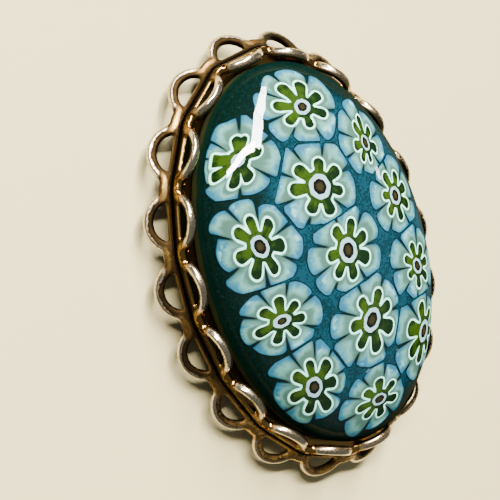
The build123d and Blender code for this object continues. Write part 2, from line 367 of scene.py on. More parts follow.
def petal_chart(flower, angles):
    """Reach of a flower's petals at some angles, and how far each angle is from one seam to the next.

    Between two seams the reach is an arch: the seams' own, plus the rest of the petal's times the
    square root of one less the fourth power of the distance from the petal's middle, as a share of
    the way to its seam.
    """
    turn = 2 * np.pi
    order = np.argsort([petal[0] for petal in flower.petals])
    seams, seam_reach, petal_tip = np.array(flower.petals, float)[order].T
    seams = np.radians(seams)
    angle = np.mod(angles - seams[0], turn) + seams[0]
    k = np.searchsorted(seams, angle, side="right") - 1
    after = np.append(seams, seams[0] + turn)[k + 1]
    share = (angle - seams[k]) / (after - seams[k])
    base = seam_reach[k] * (1 - share) + np.append(seam_reach, seam_reach[0])[k + 1] * share
    rise = np.maximum(petal_tip[k] - base, LEAST_ARCH)
    return base + rise * np.sqrt(1 - np.abs(2 * share - 1) ** 4), share


def oval_reach(oval, seed):
    """Reach of a tilted oval at each angle, with seven slight corners and a ripple."""
    long_half, short_half, tilt = oval
    angle = FLOWER_ANGLES - np.radians(tilt)
    reach = 1 / np.hypot(np.cos(angle) / long_half, np.sin(angle) / short_half)
    return reach * (1 + 0.025 * np.cos(7 * FLOWER_ANGLES + seed) + ripple(FLOWER_ANGLES, seed, 0.03))


def star_reach(flower, seed, trim):
    """Reach of a flower's star, drawn in by a trim.

    The star is the union of a heart round the eye and of one lobe for each tip: a round end on a
    slightly narrower neck that starts at the centre. It is worked out in the frame in which the tips
    lie evenly round a circle, so a squeezed flower has squeezed lobes.
    """
    angles = np.radians([lobe[0] for lobe in flower.lobes])
    reach = np.array([lobe[1] for lobe in flower.lobes])
    tips = reach[:, None] * heading(angles)
    spread, axes = np.linalg.eigh(tips.T @ tips / len(tips))
    even = axes @ np.diag(np.sqrt(spread.mean() / spread)) @ axes.T
    tips = tips @ even
    rays = heading(FLOWER_ANGLES) @ even
    scale = np.linalg.norm(rays, axis=-1)
    rays = rays / scale[:, None]
    reach = np.linalg.norm(tips, axis=-1)
    size = min(1, reach.mean() / FULL_STAR)
    trim = trim * size
    end = LOBE_SHARE * reach
    centre = reach - end
    axis = tips / reach[:, None]
    ahead = np.maximum(rays @ axis.T, LEAST_SHARE)
    side = np.abs(rays[:, :1] * axis[:, 1] - rays[:, 1:] * axis[:, 0])
    neck = np.minimum((NECK_SHARE * end - trim) / np.maximum(side, LEAST_SHARE), centre / ahead)
    ball = (end - trim) ** 2 - (centre * side) ** 2
    ball = np.where(ball > 0, centre * ahead + np.sqrt(np.maximum(ball, 0)), 0)
    lobes = np.where(ahead > LOBE_FACING, np.maximum(neck, ball), 0).max(1) / scale
    heart = oval_reach(flower.eye, seed) + HEART_WIDTH * size - trim
    return soften(np.maximum(lobes, heart)) + OUTLINE_OVER


def soften(reach):
    """A closed row of reaches blurred by a couple of degrees."""
    weights = np.array([1, 3, 5, 3, 1]) / 13
    return sum(weight * np.roll(reach, shift) for shift, weight in zip(range(-2, 3), weights))


def petal_reach(flower):
    """Charted reach, cut off by a line between this flower and each other one, and the chart's shares.

    The line crosses the way to the other's centre where the two reaches would leave the same gap.
    """
    reach, share = petal_chart(flower, FLOWER_ANGLES)
    for other in FLOWERS:
        if other is flower:
            continue
        apart = np.hypot(other.x - flower.x, other.y - flower.y)
        towards = np.arctan2(other.y - flower.y, other.x - flower.x)
        own = petal_chart(flower, np.array([towards]))[0][0]
        theirs = petal_chart(other, np.array([towards + np.pi]))[0][0]
        line = (apart + own - theirs) / 2 - FLOWER_GAP / 2
        facing = np.cos(FLOWER_ANGLES - towards)
        limit = np.where(facing > LEAST_FACING, line / np.maximum(facing, LEAST_FACING), np.inf)
        reach = np.minimum(reach, limit)
    return reach, share


def kept_inside(flower, dome, reach, share):
    """Reaches drawn in softly to the dome's oval, shrunk to a share.

    It is a soft least of the two: each to the power of -10, added up, to the power of -0.1.
    """
    edge = dome.reach(flower.x * MM, flower.y * MM, FLOWER_ANGLES, share) / MM
    return (reach ** -10.0 + edge ** -10.0) ** -0.1


def ripple(angles, seed, size):
    """A small uneven wave round a circle: three sines with a seed's phases."""
    phase = np.array([1.7, 3.1, 5.3]) * (seed + 1)
    waves = np.array([3, 5, 11])
    return size * (np.sin(np.outer(angles, waves) + phase) / np.sqrt(waves)).sum(-1) / 2


def band_on_dome(dome, flower, seed, inner, outer, rows, depth):
    """A thin closed band let into the dome between two reaches, as points, faces and marks.

    Each row's reach is the inner one plus a share of the way to the outer one. The band's top lies on the
    dome, and a copy of its first and last row lies a depth further in. A disc has an inner reach of 0.
    """
    out = np.linspace(0, 1, rows + 1)[:, None]
    reach = inner + (outer - inner) * out
    x = (flower.x + reach * np.cos(FLOWER_ANGLES)) * MM
    y = (flower.y + reach * np.sin(FLOWER_ANGLES)) * MM
    out = np.broadcast_to(out, reach.shape)
    fibre = np.stack([np.cos(FLOWER_ANGLES) + 0 * out, np.sin(FLOWER_ANGLES) + 0 * out,
                      out * FIBRE_DRIFT + seed], -1)
    top = [0.0] * (rows + 1)
    disc = not np.any(inner)
    if disc:
        order, sunk = [*range(rows + 1), rows, 0], [*top, depth, depth]
    else:
        order, sunk = [0, *range(rows + 1), rows], [depth, *top, depth]
    points = dome.point(x[order], y[order], np.array(sunk)[:, None, None])
    faces = lattice(*points.shape[:2], wrap_rows=not disc, first_pole=disc, last_pole=disc)
    return points.reshape(-1, 3), faces, {"out": out[order].ravel(), "fibre": fibre[order].reshape(-1, 3)}


def join_bands(bands):
    """Several bands as the points, faces and marks of one piece."""
    faces = []
    start = 0
    for points, band_faces, _ in bands:
        faces += moved(band_faces, start)
        start += len(points)
    points = np.concatenate([band[0] for band in bands])
    return points, faces, {name: np.concatenate([band[2][name] for band in bands]) for name in bands[0][2]}


def run_of(points):
    """Length of a line from its start to each of its points."""
    return np.concatenate([[0], np.cumsum(np.hypot(*np.diff(points, axis=0).T))])


def resample(points, count):
    """The same line with a count of points evenly spaced along it."""
    run = run_of(points)
    even = np.linspace(0, run[-1], count)
    return np.stack([np.interp(even, run, points[:, k]) for k in range(2)], -1)


def straight(start, end, steps):
    """Evenly spaced points from one to another."""
    return resample(np.array([start, end]), steps + 1)


def arc(x, y, radius, start, end):
    """Points of an arc about (x, y)."""
    steps = 31
    return [x, y] + radius * heading(np.linspace(start, end, steps + 1))


def turned(points, first, last, side):
    """Unit normals of a line, on its left for side 1 and its right for side -1, with level ends."""
    along = np.gradient(points, axis=0)
    along[0] = first
    along[-1] = last
    along = unit(along)
    return side * np.stack([-along[:, 1], along[:, 0]], -1)


def mirrored(half, closed):
    """A right half followed by its mirror image, as one run, or as a closed ring."""
    back = half[::-1] * [-1, 1]
    return np.concatenate([half, back[1:-1] if closed else back[1:]])


class LoopCell:
    """One loop of the edge between two cell sides, laid flat: X along the fold and Y up the loop.

    Its surface is a ring of points from the opening's edge out to the cell's outline, and a strip along
    the crest and the root. Next to a free edge the thickness is a quarter ellipse: nothing at the edge
    and whole once the rounding is passed.
    """

    bottom_steps, side_steps, top_steps = 12, 6, 34
    rim_steps, middle_steps = 5, 3

    def __init__(self, sizes, side, crest, valley, strap, root):
        self.side = side
        self.radius = side / 2 - sizes.side_gap
        self.centre = crest - self.radius
        crest_line = self.crest_line(sizes, valley)
        opening = self.opening_line(sizes, self.radius - strap)
        angle = np.linspace(0, np.pi / 2, self.rim_steps + 1)
        inset = sizes.rounding * (1 - np.cos(angle))
        swell = np.sin(angle)
        level = np.array([1.0, 0.0])
        crest_in = turned(crest_line, -level, -level, 1)
        opening_out = turned(opening, level, -level, -1)
        low = sizes.rounding - root
        outline = np.concatenate([
            straight((0, low), (side / 2, low), self.bottom_steps),
            straight((side / 2, low), (side / 2, valley - sizes.rounding), self.side_steps)[1:],
            (crest_line + crest_in * sizes.rounding)[1:],
        ])
        whole = opening + opening_out * sizes.rounding
        share = np.linspace(0, 1, self.middle_steps + 1)[1:]
        ring = [opening + opening_out * gap for gap in inset]
        ring += [whole + (outline - whole) * s for s in share]
        ring = np.stack([mirrored(row, True) for row in ring])
        crest_strip = np.stack([mirrored(crest_line + crest_in * gap, False) for gap in inset])
        root_line = straight((-side / 2, -root), (side / 2, -root), 2 * self.bottom_steps)
        root_strip = np.stack([root_line + [0, gap] for gap in inset])
        ring_swell = np.append(swell, np.ones(self.middle_steps))
        parts = [(ring, ring_swell, True), (crest_strip, swell, False), (root_strip, swell, False)]
        self.flat = np.concatenate([part.reshape(-1, 2) for part, _, _ in parts])
        self.swell = np.concatenate([np.repeat(s, part.shape[1]) for part, s, _ in parts])
        self.faces = []
        start = 0
        for part, _, closed in parts:
            self.faces += moved(lattice(*part.shape[:2], wrap_columns=closed), start)
            start += part.shape[0] * part.shape[1]
        self.crest_gap = self.gap_to(mirrored(crest_line, False))
        self.opening_gap = self.gap_to(mirrored(opening, True))

    def crest_line(self, sizes, valley):
        """From the hollow at the cell's side, by an arc round the fillet, along an arc to the loop's top."""
        rise = valley + sizes.fillet - self.centre
        fillet_x = np.sqrt((self.radius + sizes.fillet) ** 2 - rise ** 2)
        lean = np.arctan2(rise, fillet_x)
        return resample(np.concatenate([
            [[self.side / 2, valley]],
            arc(fillet_x, valley + sizes.fillet, sizes.fillet, -np.pi / 2, lean - np.pi),
            arc(0, self.centre, self.radius, lean, np.pi / 2),
        ]), self.top_steps + 1)

    def opening_line(self, sizes, hole):
        """From the middle of the bar below the opening, round its corner, along an arc to its top."""
        lift = sizes.spine + sizes.corner - self.centre
        corner_x = np.sqrt((hole - sizes.corner) ** 2 - lift ** 2)
        lean = np.arctan2(lift, corner_x)
        corner = arc(corner_x, sizes.spine + sizes.corner, sizes.corner, -np.pi / 2, lean)
        return np.concatenate([
            straight((0, sizes.spine), (corner_x, sizes.spine), self.bottom_steps),
            resample(corner, self.side_steps + 1)[1:],
            resample(arc(0, self.centre, hole, lean, np.pi / 2), self.top_steps + 1)[1:],
        ])

    def gap_to(self, line):
        """Distance from each point to the nearest point of a line."""
        return np.linalg.norm(self.flat[:, None] - line[None], axis=-1).min(1)


def fold_corners(sizes):
    """Corners that share out an oval's length evenly, and the length of a share.

    The first is half a share on from +Y, towards -X.
    """
    fine_steps = 20000
    halves = [sizes.half_length + sizes.fold_offset, -sizes.half_width - sizes.fold_offset]
    angle = np.linspace(0, 2 * np.pi, fine_steps + 1)
    run = run_of(heading(angle) * halves)
    marks = (np.arange(sizes.loop_count) + 0.5) / sizes.loop_count * run[-1]
    corners = heading(np.interp(marks, run, angle)) * halves
    return corners[:, ::-1], run[-1] / sizes.loop_count


def along_fold(corners, share, bend):
    """Points of the fold and its outward directions, at a share of each side from its middle.

    A side is straight but for a bend before each corner, where the line is the running mean of the two
    sides that meet there, taken over twice the bend.
    """
    share = share[None, :, None]
    start = corners[:, None]
    end = np.roll(corners, -1, axis=0)[:, None]
    span = np.linalg.norm(end - start, axis=-1, keepdims=True)
    along = (end - start) / span
    onward = np.roll(along, -1, axis=0)
    before = np.roll(along, 1, axis=0)
    points = start + along * span * (share + 0.5)
    left = (0.5 - share) * span
    gone = (0.5 + share) * span
    ending = end - along * (bend + left) ** 2 / (4 * bend) + onward * (bend - left) ** 2 / (4 * bend)
    starting = start + along * (bend + gone) ** 2 / (4 * bend) - before * (bend - gone) ** 2 / (4 * bend)
    points = np.where(left < bend, ending, np.where(gone < bend, starting, points))
    forward = np.where(left < bend, along * (bend + left) + onward * (bend - left), along)
    forward = unit(np.where(gone < bend, along * (bend + gone) + before * (bend - gone), forward))
    return points, np.stack([forward[..., 1], -forward[..., 0]], -1)


def loop_row(sizes, cell, sheet, lean, height):
    """Points, faces and marks of one row of loops: each flat cell stood on its side of the fold.

    A point is the fold's, plus Y along the loop's slope, plus the part of the sheet's thickness along
    the slope's normal, for the outer and the inner face.
    """
    corners, _ = fold_corners(sizes)
    fold, outward = along_fold(corners, cell.flat[:, 0] / cell.side, sizes.bend)
    slope = raised(outward * np.cos(lean), np.sin(lean))
    upper = raised(outward * np.sin(lean), -np.cos(lean)) * (1 if lean > 0 else -1)
    middle = raised(fold, height) + slope * cell.flat[None, :, 1:] - upper * sheet / 2
    thick = upper * (cell.swell[None, :, None] * sheet / 2)
    points = np.stack([middle + thick, middle - thick], 1)
    count = len(cell.flat)
    blocks = 2 * len(corners)
    faces = []
    for block in range(blocks):
        faces += moved([face[::-1] if block % 2 else face for face in cell.faces], block * count)
    marks = {
        "crest_gap": np.tile(cell.crest_gap / MM, blocks),
        "opening_gap": np.tile(cell.opening_gap / MM, blocks),
        "fold_gap": np.tile(np.maximum(cell.flat[:, 1], 0) / MM, blocks),
        "height": np.tile(cell.flat[:, 1] / cell.flat[:, 1].max(), blocks),
        "inside": np.tile(np.repeat([0.0, 1.0], count), len(corners)),
    }
    return points.reshape(-1, 3), faces, marks


class Value:
    """A socket's number or colour. Arithmetic on numbers adds Math nodes."""

    def __init__(self, finish, socket):
        self.finish = finish
        self.socket = socket

    def math(self, operation, first, second):
        """One Math node of two numbers."""
        return self.finish.node("ShaderNodeMath", {"operation": operation}, {0: first, 1: second})

    def __add__(self, other):
        return self.math("ADD", self, other)

    def __radd__(self, other):
        return self.math("ADD", other, self)

    def __sub__(self, other):
        return self.math("SUBTRACT", self, other)

    def __rsub__(self, other):
        return self.math("SUBTRACT", other, self)

    def __mul__(self, other):
        return self.math("MULTIPLY", self, other)

    def __rmul__(self, other):
        return self.math("MULTIPLY", other, self)

    def most(self, other):
        """The larger of the two."""
        return self.math("MAXIMUM", self, other)


class Finish:
    """A material, built one node at a time."""

    def __init__(self, name):
        self.material = bpy.data.materials.new(name)
        self.material.use_nodes = True
        self.tree = self.material.node_tree
        self.tree.nodes.clear()
        self.place = self.node("ShaderNodeTexCoord", output="Object")

    def node(self, kind, settings=None, sockets=None, output=0):
        """Adds a node: its settings first, then the values or links of its sockets."""
        made = self.tree.nodes.new(kind)
        for key, value in (settings or {}).items():
            setattr(made, key, value)
        for key, value in (sockets or {}).items():
            if isinstance(value, Value):
                self.tree.links.new(value.socket, made.inputs[key])
            else:
                made.inputs[key].default_value = value
        return Value(self, made.outputs[output]) if made.outputs else None

    def mark(self, name, output="Fac"):
        """A number or vector that the mesh holds for each point."""
        return self.node("ShaderNodeAttribute", {"attribute_name": name}, output=output)

    def along(self, direction, vector=None):
        """How far a place, or another vector, lies along a direction: their dot product."""
        sockets = {0: vector or self.place, 1: direction}
        return self.node("ShaderNodeVectorMath", {"operation": "DOT_PRODUCT"}, sockets, output="Value")

    def noise(self, vector, scale, detail=3.0):
        """Noise of a vector, with a scale of lumps to each unit of it."""
        return self.node("ShaderNodeTexNoise", None, {"Vector": vector, "Scale": scale, "Detail": detail})

    def cloud(self, size, detail=3.0):
        """Noise whose lumps are about a size across, in metres."""
        return self.noise(self.place, 1 / size, detail)

    def smooth(self, value, low, high):
        """0 up to low and 1 from high on, with a smooth step between. If low is above high it falls."""
        ends = {"Value": value, "From Min": low, "From Max": high}
        if low > high:
            ends = {"Value": value, "From Min": high, "From Max": low, "To Min": 1.0, "To Max": 0.0}
        return self.node("ShaderNodeMapRange", {"interpolation_type": "SMOOTHSTEP"}, ends)

    def mix(self, first, second, share):
        """One colour turning into another."""
        sockets = {0: share, 6: self.full(first), 7: self.full(second)}
        return self.node("ShaderNodeMix", {"data_type": "RGBA"}, sockets, output=2)

    def full(self, tint):
        """A colour with its alpha, or a link as it is."""
        return tint if isinstance(tint, Value) else (*tint, 1.0)

    def bump(self, height, distance):
        """A normal bent by a height; the distance is the height of a whole step, in metres."""
        return self.node("ShaderNodeBump", None, {"Height": height, "Distance": distance, "Strength": 1.0})

    def surface(self, base_color, **sockets):
        """The principled surface, with its other sockets named by words joined with underscores."""
        names = {"coat_ior": "Coat IOR", "specular_ior_level": "Specular IOR Level"}
        values = {names.get(key, key.replace("_", " ").title()): value for key, value in sockets.items()}
        values["Base Color"] = self.full(base_color)
        shader = self.node("ShaderNodeBsdfPrincipled", None, values)
        self.node("ShaderNodeOutputMaterial", None, {"Surface": shader})
        return self.material


def gilt_finish(tints):
    """Aged gold tone, worn pale along the crests, with painted shade in the fold, round the back row's
    openings and on the inner faces; its pits and fine lines are the metal's own.

    The front row's openings show a painted gold reflection. The metal has painted shade at the upper left,
    rubbed gold as painted light at the lower end, painted glints in the valleys, and on the right painted
    highlights on the rims and painted shadow on the inner faces.
    """
    f = Finish("gilt_metal")
    broad = f.cloud(1.3 * MM)
    fine = f.cloud(0.16 * MM)
    blotch = broad - 0.5
    grain = fine - 0.5
    crest = f.mark("crest_gap")
    opening = f.mark("opening_gap")
    inside = f.mark("inside")
    height = f.mark("height")
    edge = crest + grain * 0.20 + blotch * 0.40

    # On the right the rims take a painted highlight and the inner faces a painted shadow.
    right = f.smooth(f.along((0.95, -0.3, 0.0)), 2 * MM, 8 * MM) * 0.7
    front = f.smooth(f.along((0.0, 0.0, 1.0)), SETTING_HIGH.z * 0.45, SETTING_HIGH.z * 0.55)
    # Painted shade: towards the upper left the metal turns almost wholly to aged gold.
    shaded_upper_left = f.smooth(f.along((-0.7, 0.7, 0.0)) + blotch * 6 * MM, -1 * MM, 6 * MM) * 0.96
    # Painted light: towards the lower end the metal takes more rubbed gold.
    lower = f.smooth(f.along((0.0, -1.0, 0.0)), 3 * MM, 12 * MM)

    worn = f.smooth(edge, 0.32, 0.14) * f.smooth(height + blotch * 0.3, 0.38, 0.55) * (1 - inside * 0.6)
    # Painted glints: lighter, shinier gold in the valleys of the crest line and on the inner faces. Away
    # from the front row they fade where the upper left has painted shade.
    glints = (f.smooth(edge, 0.50, 0.25) * f.smooth(height, 0.55, 0.35)).most(inside * 0.8)
    # Painted reflection: the front row's metal round each opening is painted gold, in place of the gold seen
    # through it.
    mouth_reflection = front * f.smooth(opening, 0.14, 0.03)
    glints = (glints * front.most(1 - shaded_upper_left)).most(mouth_reflection * 0.8)
    # Share of gold tone: patchy at random, raised by the painted glints and painted reflection, lowered by
    # the painted shade at the upper left.
    clean_and_lit = f.smooth(broad * 0.5 + fine * 0.5, 0.38, 0.62).most(glints) * (1 - shaded_upper_left)

    # Painted shade: dark in the fold, round the back row's openings and on the inner faces away from the
    # crest, as shade in the recesses. On the right the inner faces are painted dark as their shadow.
    grime_and_shade = f.smooth(f.mark("fold_gap") + grain * 0.12, 0.17, 0.05)
    grime_and_shade = grime_and_shade.most(f.smooth(opening + grain * 0.10, 0.25, 0.04) * (0.8 - front * 0.75))
    grime_and_shade = grime_and_shade.most(inside * f.smooth(crest + right * 0.10, 0.11, 0.20))
    grime_and_shade = grime_and_shade.most(right * f.smooth(inside, 0.35, 0.60) * 1.4)
    # Pits, and a fine line along the rubbed rims, are the metal's own dark marks.
    pits = f.smooth(f.cloud(0.07 * MM) + blotch * 0.3, 0.60, 0.68)
    line = f.smooth(edge, 0.24, 0.30) * f.smooth(edge, 0.40, 0.33) * f.smooth(height, 0.40, 0.60)
    dirt_and_shade = grime_and_shade.most(pits * 0.45).most(line * (1 - inside) * 0.7)

    tone = f.mix(tints.gold_shade, tints.gold, clean_and_lit)
    tone = f.mix(tone, tints.rubbed_gold_and_glint, glints.most(lower * clean_and_lit) * 0.6)
    tone = f.mix(tone, f.mix(tints.worn, tints.rubbed_gold_and_glint, f.smooth(fine, 0.55, 0.70)), worn)
    tone = f.mix(tone, tints.rim_highlight, right * worn.most(glints) * 1.4)
    return f.surface(base_color=f.mix(tone, tints.grime_and_shade, dirt_and_shade), metallic=1.0,
                     roughness=0.52 - worn.most(glints) * 0.40 + fine * 0.10,
                     normal=f.bump(fine + f.cloud(0.5 * MM), 0.010 * MM))


def pin_finish(tints):
    """The pin's plain gold tone, a little scratched."""
    f = Finish("pin_metal")
    fine = f.cloud(0.2 * MM)
    tone = f.mix(tints.gold_shade, tints.gold, f.smooth(f.cloud(2.0 * MM), 0.3, 0.6))
    return f.surface(base_color=tone, metallic=1.0, roughness=0.28 + fine * 0.14,
                     normal=f.bump(fine, 0.004 * MM))


def polished(f, tone):
    """Polished glass of one tone, that loses its shine near the setting and seen along its face."""
    flat = f.node("ShaderNodeVectorMath", {"operation": "MULTIPLY"},
                  {0: f.place, 1: (1 / GLASS_HIGH.x, 1 / GLASS_HIGH.y, 0.0)}, output="Vector")
    reach = f.node("ShaderNodeVectorMath", {"operation": "LENGTH"}, {0: flat}, output="Value")
    facing = f.node("ShaderNodeLayerWeight", None, {"Blend": 0.5}, output="Facing")
    shine = f.smooth(reach, 1.0, 0.88) * (1 - f.smooth(facing, 0.32, 0.62) * 0.96)
    return f.surface(base_color=tone, roughness=0.35, specular_ior_level=0.0,
                     coat_weight=shine, coat_ior=1.5, coat_roughness=0.02)


def ground_finish(tints):
    """Teal glass full of fine specks and patches, darker and greener at its edge; painted shade carries the
    dark edge further in on the left, and the wall's foot takes a painted reflection of the gold.
    """
    f = Finish("teal_glass")
    specks = f.cloud(0.16 * MM, detail=4.0)
    patches = f.cloud(0.9 * MM)
    reach = f.mark("edge")
    uneven = reach + (patches - 0.5) * 0.1
    # Painted shade: towards the left the glass turns to the dark margin colour further in.
    left = f.smooth(f.along((1.0, -0.2, 0.0)), -1 * MM, -7 * MM)
    tone = f.mix(tints.ground_shade, tints.ground, f.smooth(patches * 0.4 + specks * 0.6, 0.44, 0.56))
    margin = f.mix(tints.margin, tints.ground_shade, f.smooth(specks, 0.5, 0.62) * 0.3)
    tone = f.mix(tone, margin, f.smooth(uneven + left * 0.13, 0.76, 0.90))
    tone = f.mix(tone, tints.speck, f.smooth(f.cloud(0.13 * MM), 0.66, 0.74) * 0.6)
    # The wall is dark green at the top; lower down it takes a painted reflection of the gold round it.
    wall = f.mix(tints.margin_wall, tints.margin_foot_reflection, f.smooth(uneven, 1.12, 1.22))
    return polished(f, f.mix(tone, wall, f.smooth(reach, 0.99, 1.08)))


def petal_finish(tints):
    """Sea-grey petals, pale in the middle and sky blue outwards, with painted light across each petal's
    middle, painted highlight patches, painted shade of soft folds towards the seams, and dark seams between.
    """
    f = Finish("petal_glass")
    out = f.mark("out")
    across = f.mark("across")
    shift = f.mark("tone")
    cloudy = f.cloud(0.8 * MM)
    fibre = f.noise(f.mark("fibre", "Vector"), 9.0)
    drifted = out + ((cloudy - 0.5) * 0.8 + shift * 0.12)
    # Pale outwards from the star; the share across lightens each petal's middle as painted light on its
    # curve.
    pale = f.smooth(drifted + fibre * 0.3, 0.28, 0.70) * f.smooth(across, 1.0, 0.35)
    tone = f.mix(tints.petal, tints.petal_light, pale * 0.8)
    blue = f.smooth(drifted + (fibre - 0.5) * 0.6 + across * 0.12, 0.45, 0.95)
    tone = f.mix(tone, tints.petal_tip, blue * 0.92)
    # Painted highlight: pale patches in the middles of the petals.
    gleam = f.smooth(cloudy + shift * 0.10, 0.58, 0.72) * f.smooth(across, 0.9, 0.5)
    gleam = gleam * f.smooth(out, 0.35, 0.6) * f.smooth(out, 0.95, 0.7)
    tone = f.mix(tone, tints.petal_gleam, gleam * 0.8)
    # Painted shade: each petal darkens softly towards its seams, as on a curved fold.
    fold = f.smooth(across + (fibre - 0.5) * 0.3, 0.70, 0.98)
    tone = f.mix(tone, tints.petal_seam_and_shade, fold * 0.35)
    seam = f.smooth(across + out * 0.05, 0.88, 0.97) * f.smooth(out, -0.1, 0.35)
    tone = f.mix(tone, tints.petal_seam_and_shade, seam.most(f.smooth(out, 0.91, 0.97)))
    return polished(f, tone)


def outline_finish(tints):
    """White glass that fades into the green inside it and the petals outside."""
    f = Finish("white_glass")
    out = f.mark("out")
    tone = f.mix(tints.outline, tints.petal_light, f.smooth(f.cloud(0.5 * MM), 0.45, 0.8) * 0.7)
    tone = f.mix(tone, tints.star, f.smooth(out, 0.20, 0.0) * 0.8)
    return polished(f, f.mix(tone, tints.petal, f.smooth(out, 0.62, 1.0) * 0.9))


def star_finish(tints):
    """Green glass with painted shade on the lower right of each star, darker towards the lobes' ends and in
    streaks.
    """
    f = Finish("green_glass")
    out = f.mark("out")
    spoke = f.mark("fibre", "Vector")
    # Painted shade: each star darkens on the side whose spokes point to the lower right.
    side = f.along((0.15, -0.15, 0.0), spoke)
    ends = f.smooth(out, 0.50, 0.95) * 0.30 + f.smooth(out, 0.25, 0.0) * 0.12
    dark = f.smooth(side + ends + f.cloud(0.45 * MM) * 0.9 + f.noise(spoke, 4.0) * 0.5, 0.46, 0.95)
    return polished(f, f.mix(tints.star, tints.star_shade, dark))


def eye_finish(tints):
    """The pale ring round a core."""
    f = Finish("eye_glass")
    tone = f.mix(tints.eye, tints.petal, f.smooth(f.cloud(0.4 * MM), 0.5, 0.8) * 0.4)
    return polished(f, tone)


def core_finish(tints):
    """Olive in the middle and nearly black round it."""
    f = Finish("dark_glass")
    out = f.mark("out") + (f.cloud(0.25 * MM) - 0.5) * 0.4
    return polished(f, f.mix(tints.core, tints.core_shade, f.smooth(out, 0.35, 0.78)))


def floor_finish(tints):
    """The plain pale floor."""
    f = Finish("floor")
    tone = f.mix(tints.floor, [channel * 0.97 for channel in tints.floor], f.cloud(60 * MM))
    return f.surface(base_color=tone, roughness=0.7)


class BROOCH_OT_lace_edge(Operator):
    """Builds both rows of loops and the plate under the glass"""

    bl_idname = "brooch.lace_edge"
    bl_label = "Lace edge"

    def execute(self, context):
        sizes = context.scene.brooch_sizes
        finish = gilt_finish(context.scene.brooch_colours)
        corners, side = fold_corners(sizes)
        fold_height = SETTING_HIGH.z - sizes.front_crest
        front = LoopCell(sizes, side, sizes.front_crest, sizes.front_valley, sizes.front_strap,
                         sizes.front_root)
        back = LoopCell(sizes, side, sizes.back_crest, sizes.back_valley, sizes.back_strap, 0)
        rows = [("lace_front", front, sizes.front_sheet, np.pi / 2, fold_height),
                ("lace_back", back, sizes.back_sheet, -sizes.back_lean, fold_height - sizes.back_drop)]
        for name, cell, sheet, lean, height in rows:
            points, faces, marks = loop_row(sizes, cell, sheet, lean, height)
            make_piece(name, points, faces, finish, ["gallery_setting"], marks, weld=True)
        self.plate(sizes, corners, finish)
        return {"FINISHED"}

    def plate(self, sizes, corners, finish):
        """A bevelled plate: its section carried round the fold's line, drawn in, and closed at the middle.

        The section's rows are a share of the way from the middle, an inset and a height. Its upper half
        is marked as a crest, so it takes the painted glints as lit gold.
        """
        steps = 12
        shares = np.linspace(-0.5, 0.5, steps, endpoint=False)
        line, outward = (part.reshape(-1, 2) for part in along_fold(corners, shares, sizes.bend))
        bottom = GLASS_LOW.z - sizes.plate - SEAT_GAP
        top = GLASS_LOW.z - SEAT_GAP
        bevel = sizes.plate_bevel
        section = [(0, bevel, bottom), (0.5, bevel, bottom), (1, bevel, bottom), (1, 0, bottom + bevel),
                   (1, 0, top - bevel), (1, bevel, top), (0.5, bevel, top), (0, bevel, top)]
        points = np.stack([raised((line - outward * (sizes.plate_inset + inward)) * share, z)
                           for share, inward, z in section])
        faces = lattice(*points.shape[:2], first_pole=True, last_pole=True)
        plain = np.zeros(len(section) * len(line))
        marks = {"crest_gap": np.repeat([FAR] * 4 + [0.0] * 4, len(line)), "opening_gap": plain + FAR,
                 "fold_gap": plain + FAR, "height": plain, "inside": plain}
        piece = make_piece("seat_plate", points, faces, finish, ["gallery_setting"], marks)
        piece.data.set_sharp_from_angle(angle=np.radians(35))


class BROOCH_OT_glass_ground(Operator):
    """Builds the domed ground that the slices lie in, with its wall and flat back"""

    bl_idname = "brooch.glass_ground"
    bl_label = "Glass ground"

    def execute(self, context):
        sizes = context.scene.brooch_sizes
        dome = Dome(sizes)
        columns, rings = 240, 56
        angle = np.linspace(0, 2 * np.pi, columns, endpoint=False)
        share = np.sin(np.linspace(0, np.pi / 2, rings))[:, None]
        x = share * dome.wall[0] * np.cos(angle)
        y = share * dome.wall[1] * np.sin(angle)
        top = dome.point(x, y, sizes.ground_depth)
        section = [(1, FOOT_BEVEL), (1 - FOOT_BEVEL / sizes.half_width, 0), (0.5, 0), (0, 0)]
        wall = [raised(top[-1, :, :2] * part, GLASS_LOW.z + up) for part, up in section]
        points = np.concatenate([top, np.stack(wall)])
        faces = lattice(*points.shape[:2], first_pole=True, last_pole=True)
        edge = np.repeat([*share.ravel(), *[WALL_MARK] * len(section)], columns)
        make_piece("glass_ground", points, faces, ground_finish(context.scene.brooch_colours),
                   ["glass_base"], {"edge": edge}, normals=dome)
        return {"FINISHED"}


class BROOCH_OT_flower_slices(Operator):
    """Builds the petals of each flower slice"""

    bl_idname = "brooch.flower_slices"
    bl_label = "Flower slices"

    def execute(self, context):
        sizes = context.scene.brooch_sizes
        dome = Dome(sizes)
        finish = petal_finish(context.scene.brooch_colours)
        rows = 10
        for seed, (node, flower) in enumerate(zip(SLICE_NODES, FLOWERS)):
            reach, share = petal_reach(flower)
            inner = kept_inside(flower, dome, star_reach(flower, seed, 0), RIM_SHARE - RIM_STEP)
            outer = kept_inside(flower, dome, np.maximum(reach, inner + LEAST_PETAL), RIM_SHARE)
            points, faces, marks = band_on_dome(dome, flower, seed, inner, outer, rows, sizes.slice_depth)
            copies = len(points) // len(share)
            petal = np.cumsum(np.abs(np.diff(share, prepend=share[-1])) > 0.5)
            marks["across"] = np.tile(np.abs(2 * share - 1), copies)
            marks["tone"] = np.tile(np.sin(2.4 * petal + seed), copies)
            make_piece("petals_" + node[-2:], points, faces, finish, [node], marks,
                       normals=dome)
        return {"FINISHED"}


